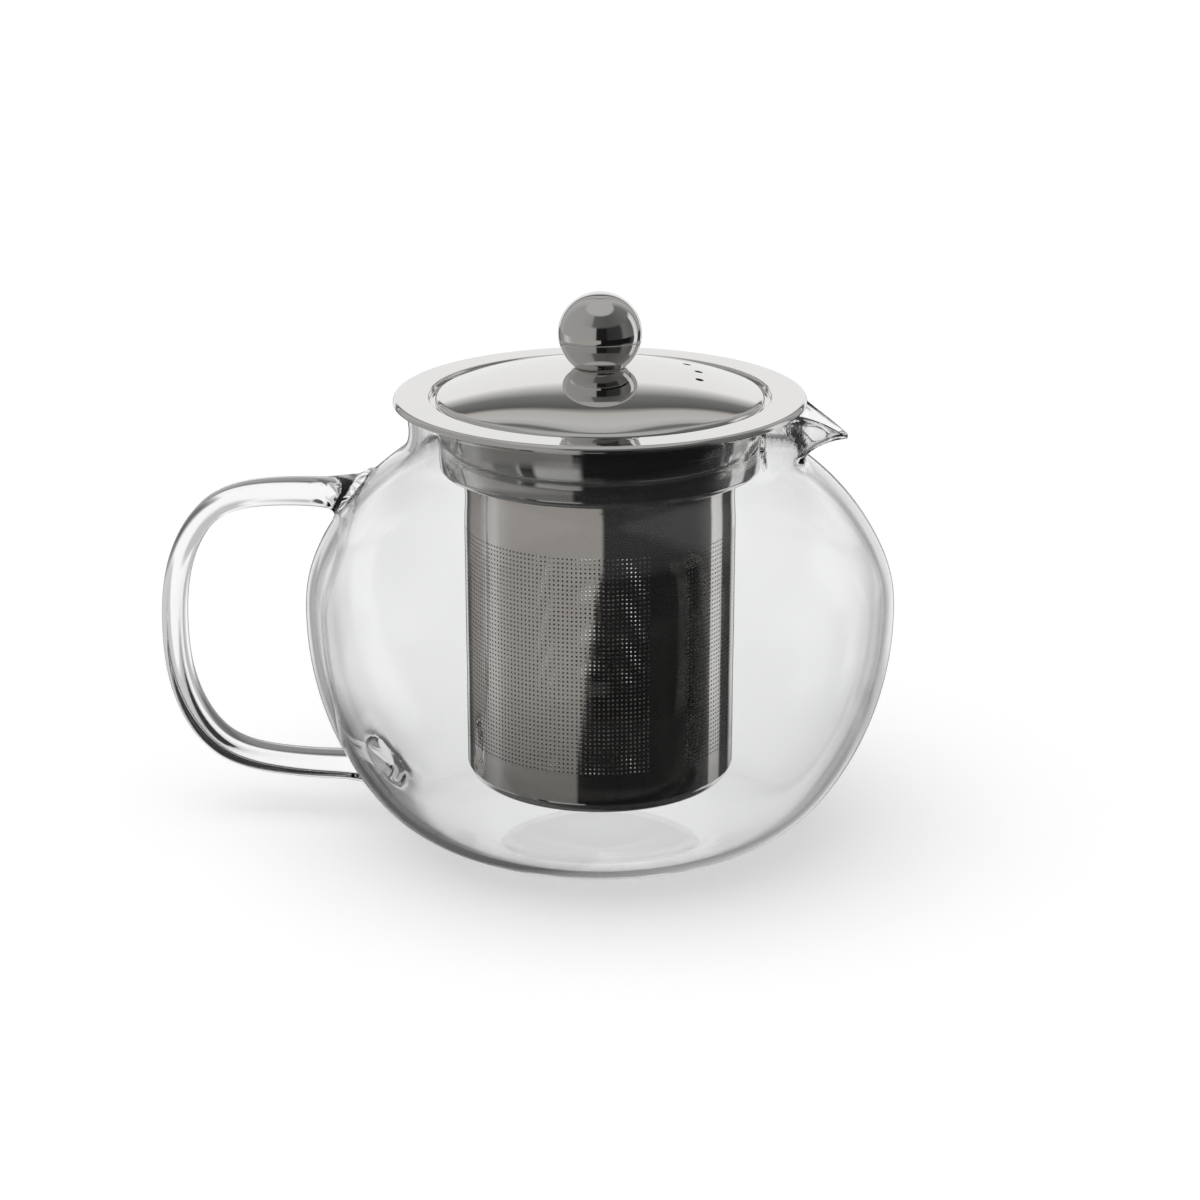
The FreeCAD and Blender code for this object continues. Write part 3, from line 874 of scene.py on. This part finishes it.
def giveFinish(piece, material):
    piece.data.materials.clear()
    piece.data.materials.append(material)


upperWeld = (-float(potReach(handleStrap["top"])) - glassSkin["weldOut"], 0, handleStrap["top"])
clearGlass = makeGlass("clearGlass", upperWeld)
polishedSteel = makeSteel("polishedSteel", ((0.80, 0.79, 0.775), (0.83, 0.82, 0.81)), (0.02, 0.05), 0.02)
drumSteel = makeSteel("drumSteel", ((0.72, 0.70, 0.68), (0.77, 0.755, 0.735)), (0.03, 0.06), 0.03)
satinSteel = makeSteel("satinSteel", ((0.82, 0.81, 0.79), (0.87, 0.86, 0.84)), (0.36, 0.46), 0.2, 0.5)
screwSteel = makeSteel("screwSteel", ((0.60, 0.59, 0.57), (0.68, 0.67, 0.65)), (0.2, 0.32), 0.1)
giveFinish(glassPot, clearGlass)
for piece in (ringPiece, lidPiece, knobPiece, dishPiece):
    giveFinish(piece, polishedSteel)
for piece in wallPieces:
    piece.data.materials[0] = drumSteel
    piece.data.materials[1] = satinSteel  # the drum's inside is left unpolished
for name in ("knob_screw", "knob_washer"):
    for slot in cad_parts[name].material_slots:
        slot.material = screwSteel
print("finishes given")


# camera, floor and studio

cameraPlace = {"turn": 7.4, "pitch": 17.88, "away": 963.4, "height": 386.8, "lens": 96.2, "sensor": 36.0}


def placeCamera():
    s = cameraPlace
    turn = math.radians(s["turn"])
    deselectAll()
    bpy.ops.object.camera_add(
        location=(s["away"] * math.sin(turn) * mm, -s["away"] * math.cos(turn) * mm, s["height"] * mm),
        rotation=(math.radians(90 - s["pitch"]), 0, turn))
    camera = bpy.context.object
    camera.name = "photoCamera"
    camera.data.lens = s["lens"]
    camera.data.sensor_width = s["sensor"]
    camera.data.clip_start = 0.01
    camera.data.clip_end = 100
    scene.camera = camera


placeCamera()

studio = {
    "floorSize": 60.0, "floorDrop": 0.2, "floorColour": 0.8, "whiteGlow": 0.44, "ambient": 0.35,
    "lampPower": 1.14, "lampSpread": 70.0, "lampTilt": (10.0, -7.0), "roof": 0.45, "bandBow": 0.04,
    "insideDeep": 0.75, "outsideDeep": 0.28, "gapShade": 0.05, "edgeShade": 0.04, "wallShade": 0.03,
}


def grey(value):
    return (value,) * 3


def mixColour(tree, share, first, second):
    node = addNode(tree, "ShaderNodeMix", data_type="RGBA")
    tree.links.new(share, node.inputs[0])
    for index, value in ((6, first), (7, second)):
        if isinstance(value, tuple):
            node.inputs[index].default_value = value + (1,)
        else:
            tree.links.new(value, node.inputs[index])
    return node.outputs[2]


def makeFloor():
    deselectAll()
    bpy.ops.mesh.primitive_plane_add(size=studio["floorSize"], location=(0, 0, -studio["floorDrop"] * mm))
    floor = namePiece("paleFloor")
    material = bpy.data.materials.new("paleFloor")
    material.use_nodes = True
    tree = material.node_tree
    tree.nodes.clear()
    path = addNode(tree, "ShaderNodeLightPath")
    matt = addNode(tree, "ShaderNodeBsdfDiffuse")
    matt.inputs["Color"].default_value = grey(studio["floorColour"]) + (1,)
    glow = addNode(tree, "ShaderNodeEmission")
    both = addNode(tree, "ShaderNodeAddShader")
    clear = addNode(tree, "ShaderNodeBsdfTransparent")
    pick = addNode(tree, "ShaderNodeMixShader")
    leave = addNode(tree, "ShaderNodeOutputMaterial")
    link = tree.links.new
    seen = path.outputs["Is Camera Ray"]
    through = path.outputs["Is Transmission Ray"]
    link(mathNode(tree, "MULTIPLY", seen, studio["whiteGlow"]), glow.inputs["Strength"])
    link(matt.outputs[0], both.inputs[0])
    link(glow.outputs[0], both.inputs[1])
    mirrored = mathNode(tree, "GREATER_THAN", path.outputs["Glossy Depth"], 0.5)
    link(mathNode(tree, "MAXIMUM", mirrored, through), pick.inputs[0])
    link(both.outputs[0], pick.inputs[1])
    link(clear.outputs[0], pick.inputs[2])
    link(pick.outputs[0], leave.inputs["Surface"])
    floor.data.materials.append(material)


makeFloor()


def rampNode(tree, value, low, high, stops):
    # a colour ramp over degrees
    node = addNode(tree, "ShaderNodeValToRGB")
    spread = addNode(tree, "ShaderNodeMapRange")
    spread.inputs["From Min"].default_value = low
    spread.inputs["From Max"].default_value = high
    tree.links.new(value, spread.inputs["Value"])
    tree.links.new(spread.outputs[0], node.inputs[0])
    ramp = node.color_ramp
    ramp.elements.remove(ramp.elements[1])
    for index, (degrees, colour) in enumerate(stops):
        position = (degrees - low) / (high - low)
        element = ramp.elements[0] if index == 0 else ramp.elements.new(position)
        element.position = position
        element.color = (colour if isinstance(colour, tuple) else grey(colour)) + (1,)
    return node.outputs[0]


warmGrey = (0.37, 0.355, 0.34)
roundLeft = [  # degrees to the right of the camera, just under table level
    (-180, 0.16), (-168, 0.16), (-163, 0.9), (-158, 0.9), (-154, 0.06), (-147, 0.10),
    (-140, (0.27, 0.26, 0.25)), (-122, (0.32, 0.305, 0.29)), (-112, 0.50), (-100, 0.60),
    (-92, (0.45, 0.435, 0.42)), (-80, warmGrey), (60, warmGrey)]
roundRight = [
    (-60, 0.008), (88, 0.008), (100, 0.05), (107, 0.10), (110, 0.85), (124, 0.75), (128, 0.06),
    (146, 0.03), (154, 0.9), (163, 0.9), (168, 0.16), (180, 0.16)]
roundLow = [  # further down, as the collar mirrors it
    (-180, 0.16), (-168, 0.16), (-160, 0.9), (-146, 0.85), (-142, 0.58), (-120, 0.50),
    (-116, (0.31, 0.30, 0.29)), (-86, (0.29, 0.28, 0.27)), (-82, 0.13), (-64, 0.12), (-61, 0.38),
    (-59, 0.02), (-50, 0.015), (-47, 0.40), (-16, 0.34), (-12, 0.008), (96, 0.008), (103, 0.22), (107, 0.9), (113, 0.45), (118, 0.9), (124, 0.35),
    (130, 0.9), (150, 0.8), (163, 0.9), (168, 0.16), (180, 0.16)]
roundAbove = [  # walls of the room
    (-180, 0.5), (-165, 0.9), (-150, 0.6), (-140, 0.36), (-20, 0.34), (-12, 0.32), (-9, 0.015), (16, 0.012),
    (22, 0.03), (60, 0.04), (70, 0.16), (104, 0.12), (110, 0.8), (124, 0.7), (128, 0.08), (146, 0.1),
    (156, 0.9), (165, 0.9), (180, 0.5)]
roundHigh = [
    (-180, 0.5), (-150, 0.36), (-60, 0.34), (-30, 0.30), (-20, 0.12), (30, 0.10), (60, 0.12), (180, 0.25)]
roundDown = [(-180, 0.1), (-120, 0.1), (-70, 0.08), (-48, 0.03), (100, 0.015), (150, 0.03), (180, 0.1)]
upThrough = [  # degrees up, as light that passes the whole pot shows it
    (-90, 0.85), (-40, 0.9), (-24, 0.85), (-13, 1.0), (5, 1.0), (10, 0.25), (14, 0.08), (42, 0.08),
    (48, 0.35), (60, 0.2), (90, 0.3)]
upHandle = [  # as the handle and the pot's edge, which light passes only once, show it
    (-90, 0.8), (-70, 0.6), (-62, 0.12), (-30, 0.15), (-26, 0.5), (-23, 1.0), (12, 1.0), (20, 0.75),
    (28, 0.2), (46, 0.15), (56, 0.7), (90, 0.5)]
darkBehind = [(-180, 0.0), (-176, 0.0), (-171, 0.9), (-150, 0.9), (-146, 0.0), (180, 0.0)]
roundEdge = [  # low down, as the outside of the glass mirrors it
    (-180, 0.7), (-176, 0.6), (-168, 0.06), (-60, 0.05), (100, 0.08), (140, 0.6), (168, 0.9), (180, 0.7)]
upBehind = [(-30, 0.9), (27, 0.9), (31, 0.55), (36, 0.2), (43, 0.11), (45.5, (0.50, 0.48, 0.46)), (51, 0.55),
            (54, 0.45), (55, 0.16), (56.5, 0.16), (58, 0.38), (90, 0.45)]
upShade = [(-30, 0.4), (-22, 0.5), (-19.5, 1.0), (0, 1.0)]
backShare = [(0, 0.0), (118, 0.0), (140, 1.0), (180, 1.0)]
gapDark = [(-180, 0.45), (-20, 0.5), (20, 0.45), (180, 0.4)]
fieldEdge = {  # where one field gives way to the next, in degrees
    "wall": (-10, -7), "down": (-42, -36), "low": (-28, -25), "level": (-8, -6), "high": (24, 30),
    "roof": (58, 63), "gap": (8.5, 12.5), "gapLow": (-38, -32), "gapHigh": (4, 10), "side": (65, 85),
    "darkLow": (-40, -36), "darkHigh": (-23.5, -20.5),
}
wallSlant = {"middle": 18.7, "reach": 2.5, "lean": -4.4}
whiteFields = 8


def stepUp(tree, value, edge):
    # 0 before a field's edge and 1 after it
    node = addNode(tree, "ShaderNodeMapRange")
    node.inputs["From Min"].default_value, node.inputs["From Max"].default_value = fieldEdge[edge]
    tree.links.new(value, node.inputs["Value"])
    return node.outputs[0]


def roundRamp(tree, around, stops):
    return rampNode(tree, around, -180, 180, stops)


def mirroredFields(tree, around, up, passed):
    # what the bright steel mirrors: a band just under level, and fields above and below it
    slant = addNode(tree, "ShaderNodeClamp")  # the wall's edge stands aslant
    tree.links.new(mathNode(tree, "ADD", up, wallSlant["middle"]), slant.inputs["Value"])
    slant.inputs["Min"].default_value = -wallSlant["reach"]
    slant.inputs["Max"].default_value = wallSlant["reach"]
    lean = mathNode(tree, "MULTIPLY", slant.outputs[0], wallSlant["lean"])
    isRight = stepUp(tree, mathNode(tree, "ADD", around, lean), "wall")
    level = mixColour(tree, isRight, roundRamp(tree, around, roundLeft), roundRamp(tree, around, roundRight))
    shaded = addNode(tree, "ShaderNodeMix", data_type="RGBA", blend_type="MULTIPLY")
    shaded.inputs[0].default_value = 1.0
    tree.links.new(level, shaded.inputs[6])
    tree.links.new(rampNode(tree, up, -30, 0, upShade), shaded.inputs[7])
    down, low = roundRamp(tree, around, roundDown), roundRamp(tree, around, roundLow)
    under = mixColour(tree, stepUp(tree, up, "down"), down, low)
    isOutside = mathNode(tree, "LESS_THAN", passed, 0.5)
    under = mixColour(tree, isOutside, under, roundRamp(tree, around, roundEdge))
    lower = mixColour(tree, stepUp(tree, up, "low"), under, shaded.outputs[2])
    offFront = mathNode(tree, "ABSOLUTE", around)
    offBack = mathNode(tree, "SUBTRACT", 180.0, offFront)
    bow = mathNode(tree, "MULTIPLY", mathNode(tree, "POWER", offBack, 2.0), studio["bandBow"])
    behind = rampNode(tree, mathNode(tree, "ADD", up, bow), -30, 90, upBehind)
    above, high = roundRamp(tree, around, roundAbove), roundRamp(tree, around, roundHigh)
    upper = mixColour(tree, stepUp(tree, up, "high"), above, high)
    upper = mixColour(tree, rampNode(tree, offFront, 0, 180, backShare), upper, behind)
    upper = mixColour(tree, stepUp(tree, up, "roof"), upper, grey(studio["roof"]))
    return mixColour(tree, stepUp(tree, up, "level"), lower, upper)


def throughFields(tree, around, up, passed):
    # light that passes the glass: white fields round the pot with darker gaps between them
    width = 360 / whiteFields
    inField = mathNode(tree, "MODULO", mathNode(tree, "ADD", around, 360 + width / 2), width)
    offField = mathNode(tree, "ABSOLUTE", mathNode(tree, "SUBTRACT", inField, width / 2))
    share = mathNode(tree, "MULTIPLY", stepUp(tree, offField, "gap"), roundRamp(tree, around, gapDark))
    share = mathNode(tree, "MULTIPLY", share, stepUp(tree, up, "gapLow"))
    share = mathNode(tree, "MULTIPLY", share, mathNode(tree, "SUBTRACT", 1.0, stepUp(tree, up, "gapHigh")))
    isTwice = mathNode(tree, "GREATER_THAN", passed, 3.5)  # in and out of two walls
    once, twice = rampNode(tree, up, -90, 90, upHandle), rampNode(tree, up, -90, 90, upThrough)
    through = mixColour(tree, share, mixColour(tree, isTwice, once, twice), grey(studio["gapShade"]))
    # something dark low behind on the left, seen only at the pot's edge
    lowLeft = mathNode(tree, "SUBTRACT", stepUp(tree, up, "darkLow"), stepUp(tree, up, "darkHigh"))
    lowLeft = mathNode(tree, "MULTIPLY", lowLeft, isTwice)
    lowLeft = mathNode(tree, "MULTIPLY", lowLeft, roundRamp(tree, around, darkBehind))
    return mixColour(tree, lowLeft, through, grey(studio["edgeShade"]))


def makeWorld():
    world = bpy.data.worlds.new("softStudio")
    scene.world = world
    world.use_nodes = True
    tree = world.node_tree
    tree.nodes.clear()
    link = tree.links.new
    path = addNode(tree, "ShaderNodeLightPath")
    place = addNode(tree, "ShaderNodeTexCoord")
    turned = addNode(tree, "ShaderNodeMapping", vector_type="POINT")
    turned.inputs["Rotation"].default_value = (0, 0, -math.radians(cameraPlace["turn"]))
    link(place.outputs["Generated"], turned.inputs["Vector"])
    parts = addNode(tree, "ShaderNodeSeparateXYZ")
    link(turned.outputs[0], parts.inputs[0])
    x, y, z = parts.outputs
    around = mathNode(tree, "DEGREES", mathNode(tree, "ARCTAN2", x, mathNode(tree, "MULTIPLY", y, -1.0)))
    up = mathNode(tree, "DEGREES", mathNode(tree, "ARCSINE", z))
    passed, bounced = path.outputs["Transmission Depth"], path.outputs["Glossy Depth"]
    mirrored = mirroredFields(tree, around, up, passed)
    through = throughFields(tree, around, up, passed)
    # mirrored within the glass itself: dark towards the camera, light to the sides
    isInside = mathNode(tree, "GREATER_THAN", passed, 0.5)
    inGlass = mathNode(tree, "MULTIPLY", isInside, mathNode(tree, "LESS_THAN", passed, 3.5))
    toSide = stepUp(tree, mathNode(tree, "ABSOLUTE", around), "side")
    mirrored = mixColour(tree, inGlass, mirrored, mixColour(tree, toSide, grey(studio["wallShade"]), through))
    colour = mixColour(tree, mathNode(tree, "GREATER_THAN", bounced, 0.5), through, mirrored)
    # light caught between the bright parts, and light that scattered inside the drum
    isCaught = mathNode(tree, "GREATER_THAN", mathNode(tree, "GREATER_THAN", bounced, 4.5), isInside)
    colour = mixColour(tree, isCaught, colour, grey(studio["outsideDeep"]))
    isScattered = mathNode(tree, "GREATER_THAN", path.outputs["Diffuse Depth"], 0.5)
    isScattered = mathNode(tree, "MULTIPLY", isScattered, isInside)
    colour = mixColour(tree, isScattered, colour, grey(studio["insideDeep"]))
    colour = mixColour(tree, path.outputs["Is Diffuse Ray"], colour, grey(studio["ambient"]))
    colour = mixColour(tree, path.outputs["Is Camera Ray"], colour, grey(1.0))
    shine = addNode(tree, "ShaderNodeBackground")
    leave = addNode(tree, "ShaderNodeOutputWorld")
    link(colour, shine.inputs["Color"])
    link(shine.outputs[0], leave.inputs["Surface"])


makeWorld()


def hangLamp():
    # a wide soft light from above and a little behind
    deselectAll()
    tiltBack, tiltSide = (math.radians(degrees) for degrees in studio["lampTilt"])
    bpy.ops.object.light_add(type="SUN", rotation=(tiltBack, tiltSide, 0))
    lamp = bpy.context.object
    lamp.name = "softLamp"
    lamp.data.energy = studio["lampPower"]
    lamp.data.angle = math.radians(studio["lampSpread"])
    lamp.visible_glossy = False
    lamp.visible_transmission = False


hangLamp()
scene.cycles.max_bounces = 32  # light runs a long way inside the handle and the drum
scene.cycles.glossy_bounces = 24
scene.cycles.diffuse_bounces = 12
scene.cycles.transmission_bounces = 32
print("studio lit")
